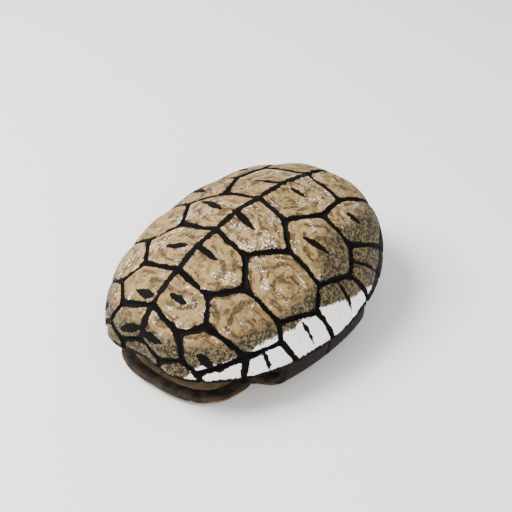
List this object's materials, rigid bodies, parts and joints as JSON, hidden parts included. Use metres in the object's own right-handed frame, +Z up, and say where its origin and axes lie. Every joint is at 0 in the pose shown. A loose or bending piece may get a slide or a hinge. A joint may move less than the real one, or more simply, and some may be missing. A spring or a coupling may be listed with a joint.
{
  "type": "turtle shell",
  "caption": "Empty domed turtle shell: a plated carapace with a low keel, and a flat plastron that joins it along both bridges.",
  "frame": {"origin": "centre of the footprint, on the surface that the plastron rests on", "axes": "+Z up through the crown, -Y towards the head end, +X towards the turtle's left side"},
  "size_m": [0.1306, 0.1756, 0.0769],
  "materials": {
    "carapace_horn": "satin tan horn plates with near-black seams",
    "plastron_horn": "satin dark brown horn plates"
  },
  "bodies": {
    "root": {"carapace": "carapace_horn", "plastron": "plastron_horn"}
  },
  "joints": []
}
